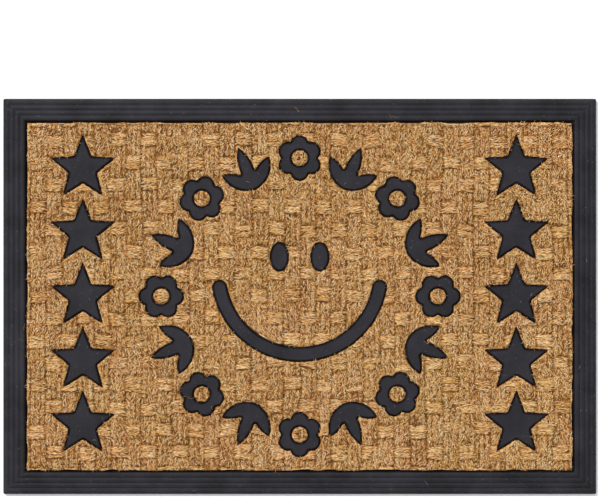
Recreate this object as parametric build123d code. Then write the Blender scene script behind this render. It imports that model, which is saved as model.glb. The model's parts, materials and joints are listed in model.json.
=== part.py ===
from build123d import *
import os
from math import cos, pi, radians, sin, sqrt

# A moulded door mat: a woven coir panel pressed onto a rubber sheet, with a ribbed rubber border round it
# and raised rubber figures that come up through the coir. Origin at the middle of the underside, +X along
# the mat's length, +Y towards its top edge, +Z up. All sizes are in millimetres.

# Overall
mat_length = 600.0
mat_width = 400.0
corner_radius = 1.5  # upright corners of the rubber

# Rubber backing sheet, with a grid of shallow square pockets in its underside for grip
backing_thickness = 2.5
pocket_depth = 1.0
pocket_size = 21.0
pocket_land = 5.0  # rubber left between two pockets
underside_rim = 14.0  # least plain rubber round the grid of pockets

# Ribbed border, a frame of parallel ribs that steps down to a thin outer lip
border_width = 23.9
border_rib_count = 4
border_lip_height = 1.6  # crest of the outermost rib above the backing
border_inner_height = 4.6  # crest of the innermost rib above the backing
border_groove_depth = 0.8
border_ledge = 0.5  # flat outside the outermost rib

# Slope of the rubber beside the coir, round each figure's flat face and along the border's inner edge
flank_width = 2.2
flank_fall = 3.4

# Coir panel
coir_thickness = 7.0

# Raised rubber figures, common section
figure_height = 6.0  # above the backing, just under the coir's top

# Star columns at both ends
stars_per_column = 5
star_points = 5
star_valley_ratio = 0.43  # valley radius over tip radius
star_valley_rounding = 2.6
star_row_gap = 2.65  # from one star's tip to the feet of the star above it
star_border_gap = 12.4  # from the top star's tip to the border
star_side_gap = 24.3  # from a star's arm to the border

# Wreath of motifs, flowers and three-leaf sprigs in turn
wreath_count = 16
wreath_gap = 9.0  # coir left between two motifs
wreath_border_gap = 13.5  # from the wreath's outside to the border
wreath_star_gap = 20.0  # least coir between the wreath and a star column
petal_count = 6
petal_ratio = 0.40  # petal radius over flower radius
flower_rim = 9.6  # rubber between the cusps and the hole that leaves a disc of coir
side_leaf_ratio = 0.80  # side leaf's length over the middle leaf's
leaf_width_ratio = 0.30  # leaf's width over the middle leaf's length
leaf_spread = 45.0  # degrees between the middle leaf and a side leaf
sprig_foot_ratio = 0.13  # radius of the disc that joins the leaves, over the middle leaf's length
cusp_rounding = 1.6  # where two petals or two leaves meet

# Smiling face inside the wreath
face_wreath_gap = 28.3  # coir between the mouth's ends and the wreath
face_smile_centre = 23.3  # centre of the mouth's arc above the mat's middle
face_smile_stroke = 14.8
face_smile_half_span = 80.0  # degrees each side of straight down
eye_width = 19.0
eye_height = 29.5
eye_spacing = 41.0
eye_level = 40.0

# Sizes that follow from those above
opening_length = mat_length - 2 * border_width
opening_width = mat_width - 2 * border_width
pocket_pitch = pocket_size + pocket_land


def star_radius():
    """Tip radius of a star, from the room that a column has between the border's two long sides."""
    half_rows = (stars_per_column - 1) / 2
    height_ratio = 1 + cos(pi / star_points)
    room = opening_width / 2 - star_border_gap - half_rows * star_row_gap
    return room / (1 + half_rows * height_ratio)


def star_pitch():
    return star_radius() * (1 + cos(pi / star_points)) + star_row_gap


def star_half_width():
    return star_radius() * cos(radians(18))


def star_column_x():
    return opening_length / 2 - star_side_gap - star_half_width()


def wreath_radius():
    """Radius of the motifs' centres, so that the wreath clears both the border and the star columns."""
    to_border = opening_width / 2 - wreath_border_gap
    to_stars = star_column_x() - star_half_width() - wreath_star_gap
    reach = min(to_border, to_stars)
    return (reach + wreath_gap / 2) / (1 + sin(pi / wreath_count))


def motif_length():
    """Size of one motif: the room between two centres less the coir left between them."""
    return 2 * wreath_radius() * sin(pi / wreath_count) - wreath_gap


def smile_radius():
    """Radius of the mouth's centre line, from the room that its ends have inside the wreath."""
    reach = wreath_radius() - motif_length() / 2 - face_wreath_gap - face_smile_stroke / 2
    half_span = radians(face_smile_half_span)
    aside = face_smile_centre * sin(half_span)
    return face_smile_centre * cos(half_span) + sqrt(reach**2 - aside**2)


def rounded_mat():
    return RectangleRounded(mat_length, mat_width, corner_radius)


def even_count(length):
    """Even number of pockets along a side, which puts a crossing of the lands at the middle."""
    return 2 * int((length - 2 * underside_rim + pocket_land) / pocket_pitch / 2)


def rubber_backing():
    """Flat sheet with the grip pockets cut into its lower face."""
    pockets = GridLocations(pocket_pitch, pocket_pitch, even_count(mat_length), even_count(mat_width))
    waffle = rounded_mat() - pockets * Rectangle(pocket_size, pocket_size)
    lower = extrude(waffle, pocket_depth)
    upper = extrude(Pos(0, 0, pocket_depth) * rounded_mat(), backing_thickness - pocket_depth)
    return lower + upper


def border_section():
    """Section of the border across one side: x runs inwards from the outer edge, y is height above the backing."""
    rib_width = (border_width - flank_width - border_ledge) / border_rib_count
    rise = (border_inner_height - border_lip_height) / (border_rib_count - 1)
    ledge_height = border_lip_height - border_groove_depth
    groove = (border_ledge, ledge_height)
    edges = [Line((0, 0), (0, ledge_height)), Line((0, ledge_height), groove)]
    for rib in range(border_rib_count):
        crest_height = border_lip_height + rib * rise
        crest = (border_ledge + (rib + 0.5) * rib_width, crest_height)
        next_groove = (border_ledge + (rib + 1) * rib_width, crest_height - border_groove_depth / 2)
        edges.append(ThreePointArc(groove, crest, next_groove))
        groove = next_groove
    foot = (border_width, groove[1] - flank_fall)
    edges.append(Line(groove, foot))
    edges.append(Line(foot, (border_width, 0)))
    edges.append(Line((border_width, 0), (0, 0)))
    return make_face(Wire(edges))


def border_side(length, depth):
    """One side of the border along X at the mat's lower edge, mitred at both ends."""
    section = Plane(origin=(-length / 2, -depth / 2, backing_thickness), x_dir=(0, 1, 0), z_dir=(1, 0, 0))
    bar = extrude(section * border_section(), length)
    reach = border_width * 1.5
    corners = [(-length / 2, -depth / 2), (length / 2, -depth / 2)]
    corners += [(length / 2 - reach, -depth / 2 + reach), (-length / 2 + reach, -depth / 2 + reach)]
    mitre = extrude(make_face(Polyline(*corners, close=True)), backing_thickness + 2 * border_inner_height)
    return bar & mitre


def rubber_border():
    """The four ribbed sides as one frame, with the mat's rounded upright corners."""
    long_side = border_side(mat_length, mat_width)
    short_side = Rot(0, 0, 90) * border_side(mat_width, mat_length)
    frame = long_side + Rot(0, 0, 180) * long_side + short_side + Rot(0, 0, 180) * short_side
    return frame & extrude(rounded_mat(), backing_thickness + 2 * border_inner_height)


def star_outline():
    radius = star_radius()
    valley = radius * star_valley_ratio
    points = []
    for corner in range(2 * star_points):
        angle = pi / 2 + corner * pi / star_points
        reach = valley if corner % 2 else radius
        points.append((reach * cos(angle), reach * sin(angle)))
    star = make_face(Polyline(*points, close=True))
    middle = (radius + valley) / 2
    return fillet(star.vertices().filter_by(lambda v: Vector(v).length < middle), star_valley_rounding)


def flower_hole_radius():
    """The hole leaves the rim's width of rubber inside the cusps between the petals."""
    petal = motif_length() / 2 * petal_ratio
    centres = motif_length() / 2 - petal
    half_turn = pi / petal_count
    cusp = centres * cos(half_turn) + sqrt(petal**2 - (centres * sin(half_turn)) ** 2)
    return cusp - flower_rim


def flower_outline():
    """Round petals about a disc, with softened cusps between them."""
    radius = motif_length() / 2
    petal = radius * petal_ratio
    flower = Circle(radius - petal) + PolarLocations(radius - petal, petal_count, 90) * Circle(petal)
    return fillet(flower.vertices(), cusp_rounding)


def leaf(length, width):
    """Leaf that points along +Y from the origin: two arcs that meet at its tips."""
    tip = (0, length)
    right = ThreePointArc(tip, (width / 2, length / 2), (0, 0))
    left = ThreePointArc((0, 0), (-width / 2, length / 2), tip)
    return make_face(Wire([right, left]))


def sprig_outline():
    """Three leaves fanned out from a small round foot, with softened cusps between them."""
    length = motif_length()
    width = length * leaf_width_ratio
    foot = length * sprig_foot_ratio
    side = leaf(length * side_leaf_ratio, width)
    fan = leaf(length, width) + Rot(0, 0, leaf_spread) * side + Rot(0, 0, -leaf_spread) * side
    fan += Pos(0, foot) * Circle(foot)
    joints = fan.vertices().filter_by(lambda v: Vector(v).length < length / 2)
    return Pos(0, -length / 2) * fillet(joints, cusp_rounding)


def smile_outline():
    start = 270 - face_smile_half_span
    arc = CenterArc((0, face_smile_centre), smile_radius(), start, 2 * face_smile_half_span)
    return SlotArc(arc, face_smile_stroke)


def wreath_places():
    """Places of the motifs, clockwise from the top, each with its own Y pointing outwards."""
    places = []
    for step in range(wreath_count):
        turn = -360 * step / wreath_count
        places.append(Rot(0, 0, turn) * Pos(0, wreath_radius(), 0))
    return places


def raised_figure(outline):
    """Rubber figure that stands on the backing, with a flat face inside a sloped flank."""
    block = extrude(Pos(0, 0, backing_thickness) * outline, figure_height)
    face = block.faces().sort_by(Axis.Z)[-1]
    return chamfer(face.edges(), flank_width, flank_fall, reference=face)


def coir_layer(outline):
    return extrude(Pos(0, 0, backing_thickness) * outline, coir_thickness)


def face_outlines():
    eye = Ellipse(eye_width / 2, eye_height / 2)
    return {
        "smile": smile_outline(),
        "eye_left": Pos(-eye_spacing / 2, eye_level) * eye,
        "eye_right": Pos(eye_spacing / 2, eye_level) * eye,
    }


def star_outlines():
    """Both columns, numbered from the top row down."""
    star = star_outline()
    outlines = {}
    for side, x in (("left", -star_column_x()), ("right", star_column_x())):
        for row in range(stars_per_column):
            y = ((stars_per_column - 1) / 2 - row) * star_pitch()
            outlines[f"star_{side}_{row + 1}"] = Pos(x, y) * star
    return outlines


def wreath_outlines():
    """Each motif's outer outline by name. A flower has a hole as well, from flower_holes()."""
    kinds = (("flower", flower_outline()), ("sprig", sprig_outline()))
    motifs = {}
    for step, place in enumerate(wreath_places()):
        kind, outline = kinds[step % 2]
        motifs[f"wreath_{kind}_{step // 2 + 1}"] = place * outline
    return motifs


def flower_holes():
    return [place * Circle(flower_hole_radius()) for place in wreath_places()[::2]]


def coir_panel(cut_outs):
    """The panel's field with one cut-out for each figure."""
    return coir_layer(Rectangle(opening_length, opening_width) - cut_outs)


def save(name, shape):
    export_step(shape, f"parts/{name}.step")


def main():
    os.makedirs("parts", exist_ok=True)
    save("rubber_backing", rubber_backing())
    save("rubber_border", rubber_border())
    figures = {**star_outlines(), **face_outlines(), **wreath_outlines()}
    holes = flower_holes()
    for name, outline in figures.items():
        flower = name.startswith("wreath_flower")
        save(name, raised_figure(outline - holes if flower else outline))
    save("coir_panel", coir_panel(figures.values()))
    save("coir_flower_eyes", Compound([coir_layer(hole).solid() for hole in holes]))


main()
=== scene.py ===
"""Looks of the coir door mat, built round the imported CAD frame. All lengths are in metres.

The CAD rubber keeps its shape and gets a moulded rubber material. The plain CAD coir is replaced by a woven
ground with rolled edges, and by strands of coir laid over it the way the yarns of the weave run.
"""
import json

import bpy
import numpy as np
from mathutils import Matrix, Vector
from mathutils.bvhtree import BVHTree


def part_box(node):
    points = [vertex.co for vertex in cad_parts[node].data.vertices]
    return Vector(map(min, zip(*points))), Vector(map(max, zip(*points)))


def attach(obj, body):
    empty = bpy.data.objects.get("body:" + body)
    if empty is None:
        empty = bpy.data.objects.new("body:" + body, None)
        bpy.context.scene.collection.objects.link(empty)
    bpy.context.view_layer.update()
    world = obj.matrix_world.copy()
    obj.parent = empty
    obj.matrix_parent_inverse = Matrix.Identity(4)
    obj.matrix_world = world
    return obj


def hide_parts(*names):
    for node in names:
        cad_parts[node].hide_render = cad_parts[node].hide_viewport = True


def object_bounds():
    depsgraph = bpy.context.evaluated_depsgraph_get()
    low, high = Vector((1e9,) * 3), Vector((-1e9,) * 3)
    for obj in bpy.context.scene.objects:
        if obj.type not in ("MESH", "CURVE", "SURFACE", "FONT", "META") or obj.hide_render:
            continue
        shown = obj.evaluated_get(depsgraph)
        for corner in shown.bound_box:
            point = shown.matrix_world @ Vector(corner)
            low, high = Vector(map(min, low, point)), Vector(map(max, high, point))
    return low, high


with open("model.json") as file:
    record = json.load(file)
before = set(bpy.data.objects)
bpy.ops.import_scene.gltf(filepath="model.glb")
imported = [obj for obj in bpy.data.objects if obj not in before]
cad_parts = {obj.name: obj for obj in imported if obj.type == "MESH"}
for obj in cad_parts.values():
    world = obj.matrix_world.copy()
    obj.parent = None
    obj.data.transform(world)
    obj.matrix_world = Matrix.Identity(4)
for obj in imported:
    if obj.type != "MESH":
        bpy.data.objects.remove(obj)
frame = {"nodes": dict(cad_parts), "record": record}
cad_low, cad_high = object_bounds()

MM = 0.001
rng = np.random.default_rng(20)

# Weave of the coir panel. Columns of warp yarns run along Y. In each column a weft float crosses on top
# once in every repeat, and neighbouring columns are half a repeat apart.
COLUMN_WIDTH = 16 * MM
REPEAT_LENGTH = 45 * MM
FLOAT_HEIGHT = 13.5 * MM  # extent of a weft float along Y
YARNS_PER_COLUMN = 3
YARNS_PER_FLOAT = 2
YARN_BULGE = 0.9 * MM
FLOAT_DROOP = 1.5 * MM  # how far a float sinks where it dives under the crossing yarns
COLUMN_CROWN = 0.35 * MM  # a warp float's sides lie this far under its middle
WEFT_RISE = 0.25 * MM  # a weft float's middle lies this far over a warp float's
FLOAT_CROWN = 0.5 * MM  # a weft float's long sides lie this far under its middle
LEVEL_SPREAD = 0.25 * MM  # a yarn's own level varies by this, and so does the level from place to place
WEAVE_SHIFT_X = 2.2 * MM  # how far the weave strays from its grid
WEAVE_SHIFT_Y = 3.0 * MM
CELL_CRACK = 1.1 * MM  # half width of the crack round a float, painted darker as shade
YARN_CRACK = 0.6 * MM  # and of the crack between two yarns side by side
YARN_CRACK_SHARE = 0.6  # how deep the second kind of crack looks against the first
WARP_SLANT = np.radians(27)  # twist of the warp yarns, seen from above
WEFT_SLANT = np.radians(7)
DRAW_ROWS = 257  # random numbers kept for the yarns. Both counts are prime, so that few yarns share one
DRAW_COLUMNS = 263

# Edge of the coir where it is rolled down beside the rubber
ROLL_WIDTH = 3.4 * MM
ROLL_DROP = 4.0 * MM
STRAND_DEPTH = 0.3 * MM  # mean level of the strands under the CAD panel's top
EDGE_RELIEF = 0.35  # share of the weave's relief that is left at the edge
EDGE_MARGIN = 0.2 * MM  # strands keep at least this far from the rubber
EDGE_WANDER = 0.3 * MM  # and up to twice this more where the edge draws back
BORDER_MARGIN = 0.45 * MM  # beside the border the strands keep this much further away
BORDER_WANDER = 1.7 * MM  # and the edge wanders this far both ways
BORDER_OVERHANG = 0.8 * MM  # at most this far over the border's flank
BORDER_REACH = 8 * MM  # coir nearer to the border than this counts as beside it
EDGE_SEARCH = 1.7 * MM  # the edge strands' places are drawn from this far outside the coir

# Grids of the fields and of the ground under the strands
GRID_STEP = 0.5 * MM
GRID_REACH = 9 * MM  # distances to the outlines are known this far out
GROUND_STEP = 2 * MM
GROUND_DEPTH = 1.0 * MM  # the ground lies this far under the strands' mean level
GROUND_LEAST = 1.0 * MM  # and is at least this thick
GROUND_FOOT = 0.05 * MM  # its lower face keeps this far from the rubber
GROUND_BACK = 0.3 * MM  # its upper face is drawn back by this at an edge
GROUND_BACK_SHARE = 0.6  # and by this share of the strands' margin
GROUND_BACK_REACH = 6 * MM

# How the strands lie
STRANDS_PER_PIECE = 10500
SPACING_SCALE = 1.0
FUZZ_LIMIT = 0.55  # where the fuzz is over this, it hides the weft floats
CRACK_CLEARNESS = 0.8  # the cracks are this clear in the mean
CRACK_FUZZ = 0.7  # and fade by this as the fuzz grows
CRACK_LIMITS = (0.2, 1.3)
CRACK_THINNING = 0.55  # how much a crack thins out the strands
WEFT_COVER = 1.3  # pits under this, less the layer's holes, are covered on the weft
WARP_COVER = 1.05  # and under this on the warp
SLANT_LEAST = 0.7  # share of the yarns' slant that each strand has at least
SLANT_SPREAD = 0.5  # and the share added where it leans furthest
WEFT_SCATTER = 0.35  # how scattered weft strands' headings are against warp strands'
WEFT_LENGTH = 1.25  # how long weft strands are against warp strands
WEFT_LIFT = 0.7  # how high
WEFT_SPREAD = 0.8  # and how varied in tint
STRAND_TAPER = 0.35  # a strand's radius is less by this share at its tips
STRAND_DRIFT = 0.07  # its tint drifts along it by half this at most each way
STRAND_HUE = 0.012  # and its hue differs by this between its sides
END_DROP = 0.5 * MM  # a strand's ends dip by this and by half its radius
EDGE_END_DROP = 0.3 * MM  # and those of a strand along an edge by this
EDGE_LEVELS = (-0.2, 0.4)  # in millimetres
FRINGE_LEVELS = (-0.3, 0.3)
EDGE_SCATTER = 0.5  # how scattered the headings are along an edge, in radians
FRINGE_SCATTER = 0.6
STRAND_BEND = 0.2  # how much a strand bends from end to end, in radians
EDGE_BEND = 0.4
FRINGE_BEND = 0.5
STRAY_BEND = 1.1
FRINGE_REACH = 0.22  # share of its length by which a loose end stands out
FRINGE_CLEARANCE = 0.2 * MM  # a loose end's middle line keeps this far over the rubber
STRAY_COUNT = 80
STRAY_CLEARANCE = 0.16 * MM
STRAY_LIFT = 0.7 * MM  # loose fibres lie this far over the coir
STRAY_INSET = 8 * MM  # and their middles at least this far inside the mat's outline

# How the strands are coloured. Tints run from 0, dark brown, to 1, straw, and hues from 0, reddish, to 1,
# golden.
YARN_TINT = 0.08  # how far the tint varies from yarn to yarn
PLACE_TINT = 0.03  # from place to place
CLUMP_TINT = 0.03  # and from clump to clump
WEFT_TINT = 0.055  # weft strands are this much lighter than the layer's tint
WARP_TINT = 0.04  # and warp strands this much
CRACK_PAINTED_SHADE = 0.21  # painted shade: a crack is this much darker
DARK_SHARE = 0.10  # about this share of the strands is dark brown
DARK_ON_YARN = 0.7  # fewer away from the cracks, times this
DARK_IN_CRACK_PAINTED_SHADE = 1.2  # and this much more in the middle of one, as painted shade
DARK_TINT = 0.10
YARN_HUE = 0.22  # how far the hue varies from yarn to yarn
PLACE_HUE = 0.3  # from place to place
STRAND_HUE_SPREAD = 0.18  # and from strand to strand
EDGE_RIM_TINT_AND_PAINTED_LIGHT = 0.20  # the same for the tint and the hue of strands along an edge; this first one, the rim's patches, is partly painted highlight and shade
EDGE_CLUMP_TINT = 0.14
EDGE_TINT_SPREAD = 0.14
EDGE_HUE = 0.45
EDGE_PLACE_HUE = 0.25
EDGE_HUE_SPREAD = 0.2
FRINGE_TINT_SPREAD = 0.18
STRAY_TINTS = (0.4, 0.8)
STRAY_HUES = (0.2, 0.8)
TINT_LIMITS = (0.02, 0.98)
EDGE_TINT_LIMITS = (0.05, 0.98)
HUE_LIMITS = (0.03, 0.97)

# Camera's view at the height of the mat's outer edge
VIEW_WIDTH = 607.4 * MM
VIEW_CENTRE = (0.3 * MM, 48.5 * MM)
LIP_HEIGHT = 3.3 * MM
LENS = 180  # long, so that the mat's sides stay out of sight. In millimetres, like the sensor's width
SENSOR_WIDTH = 36

# Light and floor
SKY_STRENGTH = 0.72
SUN_DIRECTION = (-0.6, 0.7, 0.95)  # towards the sun
SUN_STRENGTH = 2.7
SUN_WIDTH = np.radians(10)
FLOOR_REACH = 4.0
FLOOR_GAP = 0.2 * MM  # the floor lies this far under the mat


# ---------------------------------------------------------------- fields over the mat

class Field:
    """Values on a square grid, read smoothly between its points."""

    def __init__(self, low, step, values):
        self.low = low
        self.step = step
        self.values = values

    def at(self, x, y):
        rows, columns = self.values.shape
        u = np.clip((x - self.low[0]) / self.step, 0, columns - 1.001)
        v = np.clip((y - self.low[1]) / self.step, 0, rows - 1.001)
        i = u.astype(int)
        j = v.astype(int)
        u = u - i
        v = v - j
        near = self.values[j, i] * (1 - u) + self.values[j, i + 1] * u
        far = self.values[j + 1, i] * (1 - u) + self.values[j + 1, i + 1] * u
        return near * (1 - v) + far * v


def noise(scale):
    """Smooth random field from about -1 to 1 with features of this size."""
    low = np.array(cad_low)[:2] - 2 * scale
    span = np.array(cad_high)[:2] + 2 * scale - low
    columns, rows = np.ceil(span / scale).astype(int) + 2
    coarse = Field(low, scale, rng.uniform(-1, 1, (rows, columns)))
    fine_step = scale / 6
    x = low[0] + np.arange(columns * 6 - 6) * fine_step
    y = low[1] + np.arange(rows * 6 - 6) * fine_step
    u = (x - low[0]) / scale
    v = (y - low[1]) / scale
    ease_u = np.floor(u) + (u % 1) ** 2 * (3 - 2 * (u % 1))
    ease_v = np.floor(v) + (v % 1) ** 2 * (3 - 2 * (v % 1))
    grid_x, grid_y = np.meshgrid(low[0] + ease_u * scale, low[1] + ease_v * scale)
    return Field(low, fine_step, coarse.at(grid_x, grid_y))


def mesh_array(items, name, width):
    kind = np.int32 if name == "vertices" else np.float32
    values = np.empty(len(items) * width, kind)
    items.foreach_get(name, values)
    return values.reshape(-1, width)


def outline_segments(node):
    """Both ends of each straight piece of the outlines round a CAD node's lower face, as x and y."""
    mesh = frame["nodes"][node].data
    mesh.calc_loop_triangles()
    points = mesh_array(mesh.vertices, "co", 3).astype(float)
    triangles = mesh_array(mesh.loop_triangles, "vertices", 3)
    welded, same = np.unique(np.round(points / (0.001 * MM)).astype(int), axis=0, return_inverse=True)
    triangles = same.reshape(-1)[triangles]
    welded = welded * 0.001 * MM
    low = welded[:, 2] < welded[:, 2].min() + 0.01 * MM
    floor = triangles[low[triangles].all(1)]
    edges = np.sort(np.concatenate([floor[:, [0, 1]], floor[:, [1, 2]], floor[:, [2, 0]]]), axis=1)
    edges, uses = np.unique(edges, axis=0, return_counts=True)
    edges = edges[uses == 1]
    return welded[edges[:, 0], :2], welded[edges[:, 1], :2]


def distance_field(node):
    """How far each point lies inside the node's outlines. Outside them the value is negative."""
    low = np.array(cad_low)[:2] - 4 * GRID_STEP
    columns, rows = ((np.array(cad_high)[:2] - low) / GRID_STEP).astype(int) + 5
    xs = low[0] + np.arange(columns) * GRID_STEP
    ys = low[1] + np.arange(rows) * GRID_STEP
    distance = np.full((rows, columns), GRID_REACH)
    crossings = np.zeros((rows, columns + 1), int)
    for a, b in zip(*outline_segments(node)):
        i0, j0 = np.maximum(((np.minimum(a, b) - GRID_REACH - low) / GRID_STEP).astype(int), 0)
        i1, j1 = ((np.maximum(a, b) + GRID_REACH - low) / GRID_STEP).astype(int) + 2
        px = xs[i0:i1][None, :] - a[0]
        py = ys[j0:j1][:, None] - a[1]
        run = b - a
        along = np.clip((px * run[0] + py * run[1]) / max(run @ run, 1e-18), 0, 1)
        gap = np.hypot(px - along * run[0], py - along * run[1])
        distance[j0:j1, i0:i1] = np.minimum(distance[j0:j1, i0:i1], gap)
        rising = np.flatnonzero((ys >= min(a[1], b[1])) & (ys < max(a[1], b[1])))
        cross = a[0] + (ys[rising] - a[1]) * run[0] / (run[1] if run[1] else 1)
        column = np.clip(np.ceil((cross - low[0]) / GRID_STEP).astype(int), 0, columns)
        np.add.at(crossings, (rising, column), 1)
    inside = np.cumsum(crossings, axis=1)[:, :columns] % 2 == 1
    return Field(low, GRID_STEP, np.where(inside, distance, -distance))


panel_distance = distance_field("coir_panel")
eyes_distance = distance_field("coir_flower_eyes")
both_distances = np.maximum(panel_distance.values, eyes_distance.values)
coir_distance = Field(panel_distance.low, GRID_STEP, both_distances)
slope_y, slope_x = np.gradient(coir_distance.values, GRID_STEP)
coir_slope_x = Field(coir_distance.low, GRID_STEP, slope_x)
coir_slope_y = Field(coir_distance.low, GRID_STEP, slope_y)

coir_low, coir_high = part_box("coir_panel")
COIR_TOP = coir_high[2]
COIR_BOTTOM = coir_low[2]

shift_x_noise = noise(38 * MM)
shift_y_noise = noise(30 * MM)
level_noise = noise(22 * MM)
tint_noise = noise(27 * MM)
hue_noise = noise(45 * MM)
edge_noise = noise(4 * MM)
wander_noise = noise(11 * MM)
rim_noise = noise(16 * MM)
fuzz_noise = noise(19 * MM)
clump_noise = noise(3.4 * MM)
lean_noise = noise(6 * MM)
pit_noise = noise(1.6 * MM)


# ---------------------------------------------------------------- the weave

def cell_draws(seed):
    """Random numbers that stay the same for one yarn in one float."""
    return np.random.default_rng(seed).uniform(-1, 1, (DRAW_ROWS, DRAW_COLUMNS))


slant_draws = cell_draws(1)
tint_draws = cell_draws(2)
level_draws = cell_draws(3)
hue_draws = cell_draws(4)


def crack(distance, width):
    return np.exp(-((distance / width) ** 2))


def weave(x, y):
    """The weave at each point: its top, whether a weft float is on top, the yarn's numbers, and gaps.

    The gap is 1 in the middle of a crack between two yarns and 0 away from it.
    """
    wx = x + WEAVE_SHIFT_X * shift_x_noise.at(x, y)
    wy = y + WEAVE_SHIFT_Y * shift_y_noise.at(x, y)
    column = np.floor(wx / COLUMN_WIDTH).astype(int)
    across = wx / COLUMN_WIDTH - column
    phase = wy / REPEAT_LENGTH + 0.5 * (column % 2)
    repeat = np.floor(phase).astype(int)
    along = (phase - repeat - 0.5) * REPEAT_LENGTH
    weft = np.abs(along) < FLOAT_HEIGHT / 2

    warp_length = REPEAT_LENGTH - FLOAT_HEIGHT
    warp_along = REPEAT_LENGTH / 2 - np.abs(along)  # from the middle of the warp float
    warp_yarn = np.floor(across * YARNS_PER_COLUMN).astype(int)
    warp_across = across * YARNS_PER_COLUMN - warp_yarn - 0.5
    warp_top = -YARN_BULGE * (2 * warp_across) ** 2 * 0.8
    warp_top -= FLOAT_DROOP * (2 * warp_along / warp_length).clip(0, 1) ** 5
    warp_top -= COLUMN_CROWN * (2 * across - 1) ** 4

    weft_place = along / FLOAT_HEIGHT + 0.5
    weft_yarn = np.floor(weft_place * YARNS_PER_FLOAT).astype(int)
    weft_across = weft_place * YARNS_PER_FLOAT - weft_yarn - 0.5
    weft_top = WEFT_RISE - YARN_BULGE * (2 * weft_across) ** 4 * 0.9
    weft_top -= FLOAT_DROOP * 0.8 * np.abs(2 * across - 1) ** 5
    weft_top -= FLOAT_CROWN * np.abs(2 * weft_place - 1) ** 5

    half = repeat * 2 + (along > 0)  # a warp float spans the end of one repeat and the start of the next
    weft_number = column * 7 + repeat * 31 + weft_yarn
    warp_number = column * 13 + (half + 1) // 2 * 57 + warp_yarn
    number = np.abs(np.where(weft, weft_number, warp_number)) % DRAW_ROWS
    kind = np.where(weft, 5, 11) + np.abs(column) % 31 * 3
    top = np.where(weft, weft_top, warp_top)
    top = top + LEVEL_SPREAD * level_draws[number, kind] + LEVEL_SPREAD * level_noise.at(x, y)

    beside_column = crack(np.minimum(across, 1 - across) * COLUMN_WIDTH, CELL_CRACK)
    beside_float = crack(np.abs(along) - FLOAT_HEIGHT / 2, CELL_CRACK)
    beside_weft_yarn = crack((0.5 - np.abs(weft_across)) * FLOAT_HEIGHT / YARNS_PER_FLOAT, YARN_CRACK)
    beside_warp_yarn = crack((0.5 - np.abs(warp_across)) * COLUMN_WIDTH / YARNS_PER_COLUMN, YARN_CRACK)
    beside_yarn = YARN_CRACK_SHARE * np.where(weft, beside_weft_yarn, beside_warp_yarn)
    gap = np.maximum(np.maximum(beside_column, beside_float), beside_yarn)
    return top, weft, number, kind, gap


def coir_height(x, y):
    """Top of the coir, rolled down at its edges beside the rubber."""
    inside = coir_distance.at(x, y).clip(0, ROLL_WIDTH) / ROLL_WIDTH
    roll = 1 - np.sqrt(1 - (1 - inside) ** 2)
    relief = weave(x, y)[0] * (EDGE_RELIEF + (1 - EDGE_RELIEF) * inside)
    return COIR_TOP - STRAND_DEPTH + relief - ROLL_DROP * roll


def edge_margin(x, y):
    """How far strands keep from the rubber. Beside the border they lean over its sloped flank in places."""
    reach = np.minimum(coir_high[0] - np.abs(x), coir_high[1] - np.abs(y))
    beside_border = (1 - reach / BORDER_REACH).clip(0, 1)
    margin = EDGE_MARGIN + EDGE_WANDER * (1 + edge_noise.at(x, y))
    at_border = BORDER_MARGIN + BORDER_WANDER * wander_noise.at(x, y)
    return (margin + at_border * beside_border).clip(-BORDER_OVERHANG, None)


def slide_inwards(x, y, amount):
    """Moves points this far away from the nearest edge of the coir."""
    sx = coir_slope_x.at(x, y)
    sy = coir_slope_y.at(x, y)
    size = np.maximum(np.hypot(sx, sy), 0.2)
    return x + amount * sx / size, y + amount * sy / size


def keep_inside(x, y, margin):
    """Slides points that reach past the coir's edge back along the shortest way."""
    for _ in range(3):
        x, y = slide_inwards(x, y, (margin - coir_distance.at(x, y)).clip(0, None))
    return x, y


# ---------------------------------------------------------------- meshes

def new_piece(name, points, faces_by_size, material, uvs):
    """Mesh object from arrays. faces_by_size is a list of arrays, each with one face in a row."""
    mesh = bpy.data.meshes.new(name)
    corners = np.concatenate([f.ravel() for f in faces_by_size]).astype(np.int32)
    sizes = np.concatenate([np.full(len(f), f.shape[1]) for f in faces_by_size])
    starts = np.concatenate([[0], np.cumsum(sizes)[:-1]]).astype(np.int32)
    mesh.vertices.add(len(points))
    mesh.vertices.foreach_set("co", points.astype(np.float32).ravel())
    mesh.loops.add(len(corners))
    mesh.loops.foreach_set("vertex_index", corners)
    mesh.polygons.add(len(sizes))
    mesh.polygons.foreach_set("loop_start", starts)
    mesh.update(calc_edges=True)
    mesh.polygons.foreach_set("use_smooth", np.full(len(sizes), True))
    layer = mesh.uv_layers.new(name="OFBake")
    layer.uv.foreach_set("vector", uvs[corners].astype(np.float32).ravel())
    mesh.validate()
    mesh.materials.append(material)
    piece = bpy.data.objects.new(name, mesh)
    bpy.context.scene.collection.objects.link(piece)
    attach(piece, "root")
    return piece


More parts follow.
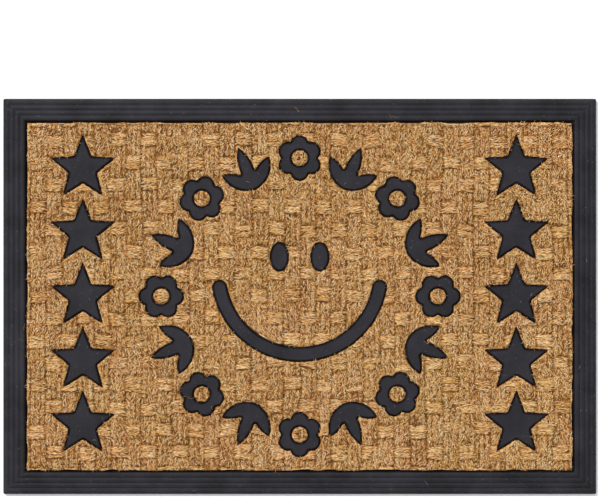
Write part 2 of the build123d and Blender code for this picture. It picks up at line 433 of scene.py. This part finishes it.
def tubes(name, paths, radii, tint, hue, material):
    """Closed three-sided strands. Each path's first and last points are its tips."""
    count, points, _ = paths.shape
    rings = points - 2
    run = paths[:, 2:] - paths[:, :-2]
    run /= np.maximum(np.linalg.norm(run, axis=2, keepdims=True), 1e-12)
    side = np.cross(run, [0.0, 0.0, 1.0])
    side /= np.maximum(np.linalg.norm(side, axis=2, keepdims=True), 1e-9)
    up = np.cross(side, run)
    turn = np.radians([90, 210, 330])
    ring = paths[:, 1:-1, None, :] + radii[:, :, None, None] * (
        np.cos(turn)[None, None, :, None] * side[:, :, None, :]
        + np.sin(turn)[None, None, :, None] * up[:, :, None, :]
    )
    per = rings * 3 + 2
    verts = np.empty((count, per, 3))
    verts[:, 0] = paths[:, 0]
    verts[:, 1:-1] = ring.reshape(count, rings * 3, 3)
    verts[:, -1] = paths[:, -1]
    base = (np.arange(count) * per)[:, None, None]
    k = np.arange(3)
    k1 = (k + 1) % 3
    first = np.stack([np.zeros(3, int), 1 + k1, 1 + k], 1)[None] + base
    end = 1 + (rings - 1) * 3
    last = np.stack([np.full(3, per - 1), end + k, end + k1], 1)[None] + base
    body = []
    for r in range(rings - 1):
        a = 1 + r * 3
        body.append(np.stack([a + k, a + k1, a + 3 + k1, a + 3 + k], 1))
    body = np.concatenate(body)[None] + base
    tris = np.concatenate([first.reshape(-1, 3), last.reshape(-1, 3)])
    quads = body.reshape(-1, 4)
    # The strand's colour is read at (tint, hue), with a little of both from place to place on it.
    uv = np.empty((count, per, 2))
    wave = np.concatenate([[0], np.repeat(np.arange(1, points - 1), 3), [points - 1]]) / (points - 1)
    drift = rng.uniform(-STRAND_DRIFT, STRAND_DRIFT, (count, 1))
    uv[:, :, 0] = tint[:, None] + drift * (wave - 0.5)
    uv[:, :, 1] = hue[:, None] + STRAND_HUE * np.concatenate([[0], np.tile(k - 1, rings), [0]])
    uv = uv.clip(0.01, 0.99).reshape(-1, 2)
    new_piece(name, verts.reshape(-1, 3), [tris, quads], material, uv)


# ---------------------------------------------------------------- materials

def srgb(red, green, blue):
    """Linear colour, with alpha, from the numbers 0 to 255 of a colour chart."""
    value = np.array([red, green, blue]) / 255
    linear = np.where(value <= 0.04045, value / 12.92, ((value + 0.055) / 1.055) ** 2.4)
    return (*map(float, linear), 1.0)


class Nodes:
    """Short ways to build a material's node tree."""

    def __init__(self, name):
        self.material = bpy.data.materials.new(name)
        self.material.use_nodes = True
        self.tree = self.material.node_tree
        self.shader = self.tree.nodes["Principled BSDF"]

    def link(self, output, target):
        self.tree.links.new(output, target)

    def ramp(self, factor, stops):
        node = self.tree.nodes.new("ShaderNodeValToRGB")
        bar = node.color_ramp
        while len(bar.elements) < len(stops):
            bar.elements.new(0.5)
        for element, (place, colour) in zip(bar.elements, stops):
            element.position = place
            element.color = colour
        self.link(factor, node.inputs["Fac"])
        return node.outputs["Color"]

    def noise(self, vector, scale, detail, roughness):
        node = self.tree.nodes.new("ShaderNodeTexNoise")
        node.inputs["Scale"].default_value = scale
        node.inputs["Detail"].default_value = detail
        node.inputs["Roughness"].default_value = roughness
        self.link(vector, node.inputs["Vector"])
        return node.outputs["Fac"]

    def place(self):
        return self.tree.nodes.new("ShaderNodeTexCoord").outputs["Object"]

    def bump(self, height, strength, distance, after=None):
        node = self.tree.nodes.new("ShaderNodeBump")
        node.inputs["Strength"].default_value = strength
        node.inputs["Distance"].default_value = distance
        self.link(height, node.inputs["Height"])
        if after is not None:
            self.link(after, node.inputs["Normal"])
        return node.outputs["Normal"]

    def mix(self, factor, a, b):
        node = self.tree.nodes.new("ShaderNodeMix")
        node.data_type = "RGBA"
        self.link(factor, node.inputs["Factor"])
        for value, target in ((a, node.inputs[6]), (b, node.inputs[7])):
            if isinstance(value, tuple):
                target.default_value = value
            else:
                self.link(value, target)
        return node.outputs[2]


def coir_strand_material():
    """Colour by the strand's own tint, from dark brown to straw, and hue, from reddish to golden."""
    n = Nodes("coir_strand")
    uv = n.tree.nodes.new("ShaderNodeUVMap")
    uv.uv_map = "OFBake"
    split = n.tree.nodes.new("ShaderNodeSeparateXYZ")
    n.link(uv.outputs["UV"], split.inputs[0])
    reddish = n.ramp(split.outputs[0], [
        (0.00, srgb(78, 38, 13)),
        (0.25, srgb(144, 87, 40)),
        (0.50, srgb(213, 152, 87)),
        (0.75, srgb(246, 196, 132)),
        (1.00, srgb(254, 234, 196)),
    ])
    golden = n.ramp(split.outputs[0], [
        (0.00, srgb(74, 42, 12)),
        (0.25, srgb(142, 96, 36)),
        (0.50, srgb(213, 161, 83)),
        (0.75, srgb(246, 205, 132)),
        (1.00, srgb(254, 239, 198)),
    ])
    n.link(n.mix(split.outputs[1], reddish, golden), n.shader.inputs["Base Color"])
    n.shader.inputs["Roughness"].default_value = 0.74
    n.shader.inputs["Specular IOR Level"].default_value = 0.25
    return n.material


def coir_ground_material():
    """Inside of the yarns, seen only between the strands. Its darker browns are painted shade."""
    n = Nodes("coir_ground")
    place = n.place()
    patches = n.noise(place, scale=90.0, detail=3.0, roughness=0.5)
    strands = n.noise(place, scale=1400.0, detail=2.0, roughness=0.6)
    base = n.ramp(patches, [(0.3, srgb(112, 72, 38)), (0.7, srgb(150, 104, 60))])
    dark = n.ramp(strands, [(0.35, srgb(64, 38, 18)), (0.6, srgb(166, 120, 74))])
    factor = n.tree.nodes.new("ShaderNodeMath")
    factor.operation = "MULTIPLY"
    factor.inputs[1].default_value = 0.7
    n.link(strands, factor.inputs[0])
    n.link(n.mix(factor.outputs[0], base, dark), n.shader.inputs["Base Color"])
    n.link(n.bump(strands, strength=0.6, distance=0.4 * MM), n.shader.inputs["Normal"])
    n.shader.inputs["Roughness"].default_value = 0.9
    n.shader.inputs["Specular IOR Level"].default_value = 0.15
    return n.material


def rubber_material(name, dark, light, roughness):
    """Moulded black rubber: faint mottling, a fine pitted skin and a few dusty specks."""
    n = Nodes(name)
    place = n.place()
    mottle = n.noise(place, scale=34.0, detail=5.0, roughness=0.6)
    skin = n.noise(place, scale=900.0, detail=3.0, roughness=0.6)
    dents = n.noise(place, scale=120.0, detail=3.0, roughness=0.5)
    specks = n.noise(place, scale=420.0, detail=2.0, roughness=0.7)
    body = n.ramp(mottle, [(0.32, dark), (0.68, light)])
    dust = n.ramp(specks, [(0.66, (0, 0, 0, 1)), (0.78, (1, 1, 1, 1))])
    n.link(n.mix(dust, body, srgb(96, 90, 84)), n.shader.inputs["Base Color"])
    rough = n.tree.nodes.new("ShaderNodeMapRange")
    rough.inputs["To Min"].default_value = roughness - 0.07
    rough.inputs["To Max"].default_value = roughness + 0.1
    n.link(dents, rough.inputs["Value"])
    n.link(rough.outputs["Result"], n.shader.inputs["Roughness"])
    fine = n.bump(skin, strength=0.25, distance=0.12 * MM)
    coarse = n.bump(dents, strength=0.35, distance=0.5 * MM, after=fine)
    n.link(coarse, n.shader.inputs["Normal"])
    n.shader.inputs["Specular IOR Level"].default_value = 0.25
    return n.material


# ---------------------------------------------------------------- the coir

def build_ground(name, node, distance, material):
    """Closed slab of coir under the strands, with the weave's relief on top and a flat lower face."""
    low = np.array(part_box(node)[0])[:2] - GROUND_STEP
    high = np.array(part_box(node)[1])[:2] + GROUND_STEP
    columns, rows = np.ceil((high - low) / GROUND_STEP).astype(int) + 1
    gx, gy = np.meshgrid(low[0] + np.arange(columns) * GROUND_STEP, low[1] + np.arange(rows) * GROUND_STEP)
    inside = distance.at(gx, gy) > -0.7 * GROUND_STEP
    cell = inside[:-1, :-1] & inside[1:, :-1] & inside[:-1, 1:] & inside[1:, 1:]
    cell &= distance.at(gx[:-1, :-1] + GROUND_STEP / 2, gy[:-1, :-1] + GROUND_STEP / 2) > 0
    foot_x, foot_y = keep_inside(gx.ravel(), gy.ravel(), GROUND_FOOT)
    draw_back = (1 - coir_distance.at(foot_x, foot_y) / GROUND_BACK_REACH).clip(0, 1)
    margin = edge_margin(foot_x, foot_y).clip(0, None)
    x, y = slide_inwards(foot_x, foot_y, draw_back * (GROUND_BACK + GROUND_BACK_SHARE * margin))
    z = np.maximum(coir_height(x, y) - GROUND_DEPTH, COIR_BOTTOM + GROUND_LEAST)
    j, i = np.nonzero(cell)
    a = j * columns + i
    quads = np.stack([a, a + 1, a + columns + 1, a + columns], 1)
    used, flat = np.unique(quads, return_inverse=True)
    quads = flat.reshape(-1, 4)
    count = len(used)
    top = np.stack([x[used], y[used], z[used]], 1)
    bottom = np.stack([foot_x[used], foot_y[used], np.full(count, COIR_BOTTOM)], 1)
    sides = np.concatenate([quads[:, [0, 1]], quads[:, [1, 2]], quads[:, [2, 3]], quads[:, [3, 0]]])
    keys = np.sort(sides, axis=1)
    _, back, uses = np.unique(keys, axis=0, return_inverse=True, return_counts=True)
    rim = sides[uses[back.reshape(-1)] == 1]
    walls = np.stack([rim[:, 1], rim[:, 0], rim[:, 0] + count, rim[:, 1] + count], 1)
    points = np.concatenate([top, bottom])
    uv = (points[:, :2] - low) / (high - low)
    uv[:, 1] = uv[:, 1] * 0.5
    uv[count:, 1] += 0.5
    piece = new_piece(name, points, [quads, quads[:, ::-1] + count, walls], material, uv)
    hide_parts(node)
    cut = points[quads][:, :, :2]
    area = 0.5 * np.abs(
        (cut[:, 2, 0] - cut[:, 0, 0]) * (cut[:, 3, 1] - cut[:, 1, 1])
        - (cut[:, 3, 0] - cut[:, 1, 0]) * (cut[:, 2, 1] - cut[:, 0, 1])
    ).sum()
    return piece, float(area)


def scattered(spacing, reach):
    """Points over the coir, one at random in each square of a grid, that lie at least reach inside it."""
    low = np.array(coir_low)[:2] + min(reach, 0)
    high = np.array(coir_high)[:2] - min(reach, 0)
    columns, rows = ((high - low) / spacing).astype(int) + 1
    i, j = np.meshgrid(np.arange(columns), np.arange(rows))
    x = low[0] + (i + rng.uniform(0, 1, i.shape)).ravel() * spacing
    y = low[1] + (j + rng.uniform(0, 1, j.shape)).ravel() * spacing
    keep = coir_distance.at(x, y) > reach
    return x[keep], y[keep]


def strand_paths(x, y, heading, length, bend, points):
    """Plan of curved paths centred on x and y, and each point's place from -0.5 to 0.5 along its path."""
    steps = np.linspace(-0.5, 0.5, points)[None, :]
    turn = heading[:, None] + bend[:, None] * steps
    px = np.cumsum(np.cos(turn), axis=1) * (length / (points - 1))[:, None]
    py = np.cumsum(np.sin(turn), axis=1) * (length / (points - 1))[:, None]
    px += x[:, None] - px.mean(1, keepdims=True)
    py += y[:, None] - py.mean(1, keepdims=True)
    return px, py, steps


def clear_of_rubber(px, py):
    """Which paths don't cross the rubber between their points."""
    middle_x = (px[:, 1:] + px[:, :-1]) / 2
    middle_y = (py[:, 1:] + py[:, :-1]) / 2
    return coir_distance.at(middle_x, middle_y).min(1) > 0


def strand_radii(radius, steps):
    """Radius at each point between a strand's tips, a little uneven and thinner towards them."""
    taper = 1 - STRAND_TAPER * (2 * steps[:, 1:-1]) ** 2
    return radius[:, None] * taper * rng.uniform(0.85, 1.15, (len(radius), steps.shape[1] - 2))


def tint_of_strands(tint, spread, x, y, weft, number, kind, gap):
    """Each strand's tint, from its layer's, its yarn's and its place's, with some strands dark brown. The
    cracks get painted shade: darker strands, and more dark brown ones.
    """
    count = len(x)
    shade = tint + YARN_TINT * tint_draws[number, kind]
    shade += PLACE_TINT * tint_noise.at(x, y) + CLUMP_TINT * clump_noise.at(x, y)
    # Painted shade: strands in the cracks between yarns are darker.
    shade += np.where(weft, WEFT_TINT, WARP_TINT) - CRACK_PAINTED_SHADE * gap
    shade += spread * np.where(weft, WEFT_SPREAD, 1.0) * rng.normal(0, 1, count)
    # Painted shade as well: more of the dark brown strands fall in the cracks.
    dark_share = DARK_SHARE * (DARK_ON_YARN + DARK_IN_CRACK_PAINTED_SHADE * gap)
    return np.where(rng.uniform(0, 1, count) < dark_share, DARK_TINT, shade)


def lay_strands(spacing, lengths, radii, scatter, levels, tint, spread, holes, points):
    """One layer of strands that follow the yarns. Returns their paths, radii, tints and hues."""
    x, y = scattered(spacing * SPACING_SCALE, EDGE_MARGIN)
    _, weft, number, kind, gap = weave(x, y)
    fuzz = fuzz_noise.at(x, y)
    weft = weft & (fuzz < FUZZ_LIMIT)
    gap = gap * (CRACK_CLEARNESS - CRACK_FUZZ * fuzz).clip(*CRACK_LIMITS)
    keep = pit_noise.at(x, y) + CRACK_THINNING * gap < np.where(weft, WEFT_COVER, WARP_COVER) - holes
    x, y, weft, number, kind, gap = (values[keep] for values in (x, y, weft, number, kind, gap))
    count = len(x)
    lean = slant_draws[number, kind] + lean_noise.at(x, y)
    slant = np.where(weft, WEFT_SLANT, WARP_SLANT) * np.where(lean > 0, 1, -1)
    slant *= SLANT_LEAST + SLANT_SPREAD * np.abs(lean)
    heading = np.where(weft, 0, np.pi / 2) + slant
    heading += scatter * np.where(weft, WEFT_SCATTER, 1.0) * rng.normal(0, 1, count)
    length = rng.uniform(*lengths, count) * MM * np.where(weft, WEFT_LENGTH, 1.0)
    px, py, steps = strand_paths(x, y, heading, length, rng.normal(0, STRAND_BEND, count), points)
    px, py = keep_inside(px, py, edge_margin(px, py))
    radius = rng.uniform(*radii, count) * MM
    lift = rng.uniform(*levels, count) * MM * np.where(weft, WEFT_LIFT, 1.0)
    end_drop = (END_DROP + 0.5 * radius[:, None]) * (2 * steps) ** 4
    pz = coir_height(px, py) + lift[:, None] - end_drop
    shade = tint_of_strands(tint, spread, x, y, weft, number, kind, gap)
    hue = 0.5 + YARN_HUE * hue_draws[number, kind] + PLACE_HUE * hue_noise.at(x, y)
    hue += STRAND_HUE_SPREAD * rng.normal(0, 1, count)
    clear = clear_of_rubber(px, py)
    paths = np.stack([px, py, pz], 2)[clear]
    radii = strand_radii(radius, steps)[clear]
    return paths, radii, shade[clear].clip(*TINT_LIMITS), hue[clear].clip(*HUE_LIMITS)


def along_edges(spacing, width):
    """Points over the coir's edges, with the heading of the edge beside each, leftwards round the coir."""
    x, y = scattered(spacing, -EDGE_SEARCH)
    distance = coir_distance.at(x, y)
    near = (distance > edge_margin(x, y)) & (distance < width * (1 + 0.4 * rim_noise.at(x, y)))
    x = x[near]
    y = y[near]
    return x, y, np.arctan2(coir_slope_y.at(x, y), coir_slope_x.at(x, y)) + np.pi / 2


def lay_edge_strands(spacing, width, lengths, radii, tint):
    """Strands pressed flat along the coir's rolled edges."""
    x, y, heading = along_edges(spacing * SPACING_SCALE, width)
    count = len(x)
    heading = heading + EDGE_SCATTER * rng.normal(0, 1, count)
    length = rng.uniform(*lengths, count) * MM
    px, py, steps = strand_paths(x, y, heading, length, rng.normal(0, EDGE_BEND, count), 5)
    px, py = keep_inside(px, py, edge_margin(px, py))
    radius = rng.uniform(*radii, count) * MM
    lift = rng.uniform(*EDGE_LEVELS, (count, 1)) * MM
    pz = coir_height(px, py) + lift - EDGE_END_DROP * (2 * steps) ** 4
    # Painted light: the rim's lighter and darker patches along the rolled edge are partly painted highlights
    # and shade.
    shade = tint + EDGE_RIM_TINT_AND_PAINTED_LIGHT * rim_noise.at(x, y) + EDGE_CLUMP_TINT * clump_noise.at(x, y)
    shade += EDGE_TINT_SPREAD * rng.normal(0, 1, count)
    hue = EDGE_HUE + EDGE_PLACE_HUE * hue_noise.at(x, y) + EDGE_HUE_SPREAD * rng.normal(0, 1, count)
    clear = clear_of_rubber(px, py)
    paths = np.stack([px, py, pz], 2)[clear]
    radii = strand_radii(radius, steps)[clear]
    return paths, radii, shade[clear].clip(*EDGE_TINT_LIMITS), hue[clear].clip(*HUE_LIMITS)


def rubber_tree():
    """Search tree of the CAD rubber, to lay loose ends on."""
    points = []
    faces = []
    for node in frame["record"]["subparts"]:
        if node["material_slot"] != "coir":
            mesh = frame["nodes"][node["node"]].data
            faces += [[v + len(points) for v in face.vertices] for face in mesh.polygons]
            points += [tuple(v.co) for v in mesh.vertices]
    return BVHTree.FromPolygons(points, faces)


def lift_over_rubber(tree, px, py, pz, clearance):
    """Raises each point that lies lower than this far above the rubber below it."""
    down = Vector((0, 0, -1))
    for index in np.ndindex(px.shape):
        hit = tree.ray_cast(Vector((px[index], py[index], 2 * COIR_TOP)), down)[0]
        if hit is not None:
            pz[index] = max(pz[index], hit.z + clearance)
    return pz


def lay_fringe(tree, spacing, width, lengths, radii, tint):
    """Short ends that stick out of the coir's edges over the dark gap beside the rubber."""
    x, y, heading = along_edges(spacing, width)
    keep = rng.uniform(-1, 1, len(x)) < 0.5 + edge_noise.at(x, y)
    x, y, heading = x[keep], y[keep], heading[keep]
    count = len(x)
    outwards = heading + np.pi / 2 + FRINGE_SCATTER * rng.normal(0, 1, count)
    length = rng.uniform(*lengths, count) * MM
    x = x + FRINGE_REACH * length * np.cos(outwards)
    y = y + FRINGE_REACH * length * np.sin(outwards)
    px, py, steps = strand_paths(x, y, outwards, length, rng.normal(0, FRINGE_BEND, count), 4)
    radius = rng.uniform(*radii, count) * MM
    pz = coir_height(px, py) + rng.uniform(*FRINGE_LEVELS, (count, 1)) * MM
    pz = lift_over_rubber(tree, px, py, pz, FRINGE_CLEARANCE)
    shade = tint + FRINGE_TINT_SPREAD * rng.normal(0, 1, count)
    hue = EDGE_HUE + EDGE_HUE_SPREAD * rng.normal(0, 1, count)
    paths = np.stack([px, py, pz], 2)
    return paths, strand_radii(radius, steps), shade.clip(*EDGE_TINT_LIMITS), hue.clip(*HUE_LIMITS)


def lay_strays(tree, count, lengths, radii):
    """Loose fibres that have strayed over the mat, on the rubber as well as on the coir."""
    spread = np.array(cad_high)[:2] - STRAY_INSET
    x = rng.uniform(-spread[0], spread[0], count)
    y = rng.uniform(-spread[1], spread[1], count)
    length = rng.uniform(*lengths, count) * MM
    heading = rng.uniform(0, np.pi, count)
    px, py, steps = strand_paths(x, y, heading, length, rng.normal(0, STRAY_BEND, count), 7)
    over_coir = coir_distance.at(px, py) > 0
    pz = np.where(over_coir, coir_height(px, py) + STRAY_LIFT, 0)
    pz = lift_over_rubber(tree, px, py, pz, STRAY_CLEARANCE)
    radius = rng.uniform(*radii, count) * MM
    shade = rng.uniform(*STRAY_TINTS, count)
    hue = rng.uniform(*STRAY_HUES, count)
    return np.stack([px, py, pz], 2), strand_radii(radius, steps), shade, hue


def add_strands(name, layer, material):
    """Pieces of at most so many strands each, that divide the layer from one end of the mat to the other."""
    paths, radii, shade, hue = layer
    order = np.argsort(paths[:, 2, 0], kind="stable")
    groups = np.array_split(order, int(np.ceil(len(order) / STRANDS_PER_PIECE)))
    for number, group in enumerate(groups, 1):
        part_name = f"{name}_{number}" if len(groups) > 1 else name
        tubes(part_name, paths[group], radii[group], shade[group], hue[group], material)


def build_strands(material):
    """All the strands. Lengths, radii and levels are in millimetres here."""
    tree = rubber_tree()
    # The layers' tints darken with depth: partly the fibres' own spread from straw to brown, partly painted
    # shade on the deeper layers.
    under = lay_strands(
        spacing=1.9 * MM, lengths=(5, 9), radii=(0.36, 0.50), scatter=0.30, levels=(-1.4, -0.7),
        tint=0.34, spread=0.13, holes=0.3, points=5,
    )
    middle = lay_strands(
        spacing=1.45 * MM, lengths=(3.6, 6.4), radii=(0.24, 0.36), scatter=0.38, levels=(-0.7, 0.0),
        tint=0.53, spread=0.16, holes=0.50, points=5,
    )
    upper = lay_strands(
        spacing=1.4 * MM, lengths=(2.5, 4.6), radii=(0.22, 0.33), scatter=0.50, levels=(0.0, 0.9),
        tint=0.755, spread=0.20, holes=0.62, points=4,
    )
    add_strands("coir_under_strands", under, material)
    add_strands("coir_middle_strands", middle, material)
    add_strands("coir_upper_strands", upper, material)
    # The edge strands' tint, darker than the middle layer's, is painted shade on the rolled edge.
    edge = lay_edge_strands(spacing=1.3 * MM, width=2.3 * MM, lengths=(3, 7), radii=(0.22, 0.38), tint=0.43)
    add_strands("coir_edge_strands", edge, material)
    fringe = lay_fringe(
        tree, spacing=2.3 * MM, width=1.6 * MM, lengths=(1.5, 4.2), radii=(0.16, 0.30), tint=0.70
    )
    add_strands("coir_fringe", fringe, material)
    add_strands("coir_strays", lay_strays(tree, STRAY_COUNT, lengths=(3, 9), radii=(0.07, 0.12)), material)


# ---------------------------------------------------------------- camera, light and floor

def build_camera():
    """Straight down over the mat, from far enough to keep its sides out of sight."""
    data = bpy.data.cameras.new("camera")
    data.sensor_width = SENSOR_WIDTH
    data.lens = LENS
    camera = bpy.data.objects.new("camera", data)
    bpy.context.scene.collection.objects.link(camera)
    distance = VIEW_WIDTH * LENS / SENSOR_WIDTH
    camera.location = (*VIEW_CENTRE, LIP_HEIGHT + distance)
    data.clip_start = 0.1
    data.clip_end = 50
    bpy.context.scene.camera = camera


def build_stage():
    """White surroundings, one soft sun from the upper left and a near white floor."""
    world = bpy.data.worlds.new("studio")
    world.use_nodes = True
    world.node_tree.nodes["Background"].inputs["Color"].default_value = (1, 1, 1, 1)
    world.node_tree.nodes["Background"].inputs["Strength"].default_value = SKY_STRENGTH
    bpy.context.scene.world = world
    sun = bpy.data.lights.new("key", "SUN")
    sun.energy = SUN_STRENGTH
    sun.angle = SUN_WIDTH
    light = bpy.data.objects.new("key", sun)
    bpy.context.scene.collection.objects.link(light)
    light.rotation_euler = (-Vector(SUN_DIRECTION)).to_track_quat("-Z", "Y").to_euler()
    mesh = bpy.data.meshes.new("floor")
    corners = [(-1, -1), (1, -1), (1, 1), (-1, 1)]
    mesh.from_pydata([(x * FLOOR_REACH, y * FLOOR_REACH, 0) for x, y in corners], [], [(0, 1, 2, 3)])
    floor = bpy.data.objects.new("floor", mesh)
    bpy.context.scene.collection.objects.link(floor)
    n = Nodes("floor")
    n.shader.inputs["Base Color"].default_value = (0.97, 0.97, 0.97, 1)
    n.shader.inputs["Roughness"].default_value = 0.9
    mesh.materials.append(n.material)
    floor.location.z = cad_low[2] - FLOOR_GAP
    bpy.context.scene.view_settings.view_transform = "Standard"
    bpy.context.scene.view_settings.look = "None"


# ---------------------------------------------------------------- build

build_camera()
build_stage()

base_rubber = rubber_material("rubber_base", srgb(14, 13, 18), srgb(36, 35, 42), roughness=0.6)
figure_rubber = rubber_material("rubber_figure", srgb(20, 19, 25), srgb(36, 34, 42), roughness=0.55)
for node in frame["record"]["subparts"]:
    obj = frame["nodes"][node["node"]]
    if node["material_slot"] == "coir":
        continue
    obj.data.materials.clear()
    obj.data.materials.append(base_rubber if node["material_slot"] == "rubber_base" else figure_rubber)

ground_material = coir_ground_material()
ground, ground_area = build_ground("coir_ground", "coir_panel", panel_distance, ground_material)
build_ground("coir_eyes_ground", "coir_flower_eyes", eyes_distance, ground_material)
build_strands(coir_strand_material())
